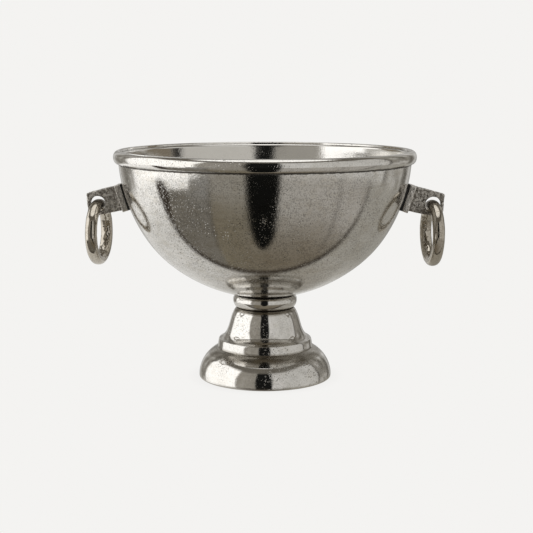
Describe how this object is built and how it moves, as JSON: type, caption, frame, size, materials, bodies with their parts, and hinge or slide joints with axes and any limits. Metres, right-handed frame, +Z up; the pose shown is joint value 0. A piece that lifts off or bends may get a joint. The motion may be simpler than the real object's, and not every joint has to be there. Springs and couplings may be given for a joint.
{
  "type": "footed champagne bucket",
  "caption": "Hemispherical nickel-finished bowl with a half-round rim on a bell-shaped pedestal, with a cast lug on each side that carries a free-swinging ring handle.",
  "frame": {"origin": "centre of the foot's resting face", "axes": "+Z up along the bowl's axis, +X towards the right-hand lug and ring, +Y away from the viewer"},
  "size_m": [0.4528, 0.38, 0.291],
  "materials": {
    "cast_nickel": "nickel plated over a hand-finished casting, satin with pits and faint turning lines",
    "bright_nickel": "nickel plated and polished, with a few casting pits",
    "rough_nickel": "nickel plated over a rough sand casting, darkened in the hollows",
    "fastener_steel": "plain zinc-coloured steel",
    "gasket_rubber": "matt black sheet rubber"
  },
  "bodies": {
    "bucket": {"bowl": "cast_nickel", "rim_bead": "bright_nickel", "collar": "bright_nickel", "pedestal": "bright_nickel", "foot_bolt": "fastener_steel", "foot_washer": "fastener_steel", "foot_spring_washer": "fastener_steel", "lug_left": "rough_nickel", "lug_gasket_left": "gasket_rubber", "lug_screw_left_lower": "fastener_steel", "lug_washer_left_lower": "fastener_steel", "lug_screw_left_upper": "fastener_steel", "lug_washer_left_upper": "fastener_steel", "lug_right": "rough_nickel", "lug_gasket_right": "gasket_rubber", "lug_screw_right_lower": "fastener_steel", "lug_washer_right_lower": "fastener_steel", "lug_screw_right_upper": "fastener_steel", "lug_washer_right_upper": "fastener_steel"},
    "left_ring": {"ring_left": "bright_nickel"},
    "right_ring": {"ring_right": "bright_nickel"}
  },
  "joints": [
    {"name": "left_ring_swing", "type": "hinge", "parent": "bucket", "child": "left_ring", "pos_m": [-0.2121, 0, 0.2212], "axis": [0, 1, 0], "range_deg": [-50, 191]},
    {"name": "right_ring_swing", "type": "hinge", "parent": "bucket", "child": "right_ring", "pos_m": [0.2121, 0, 0.2212], "axis": [0, -1, 0], "range_deg": [-50, 191]}
  ]
}
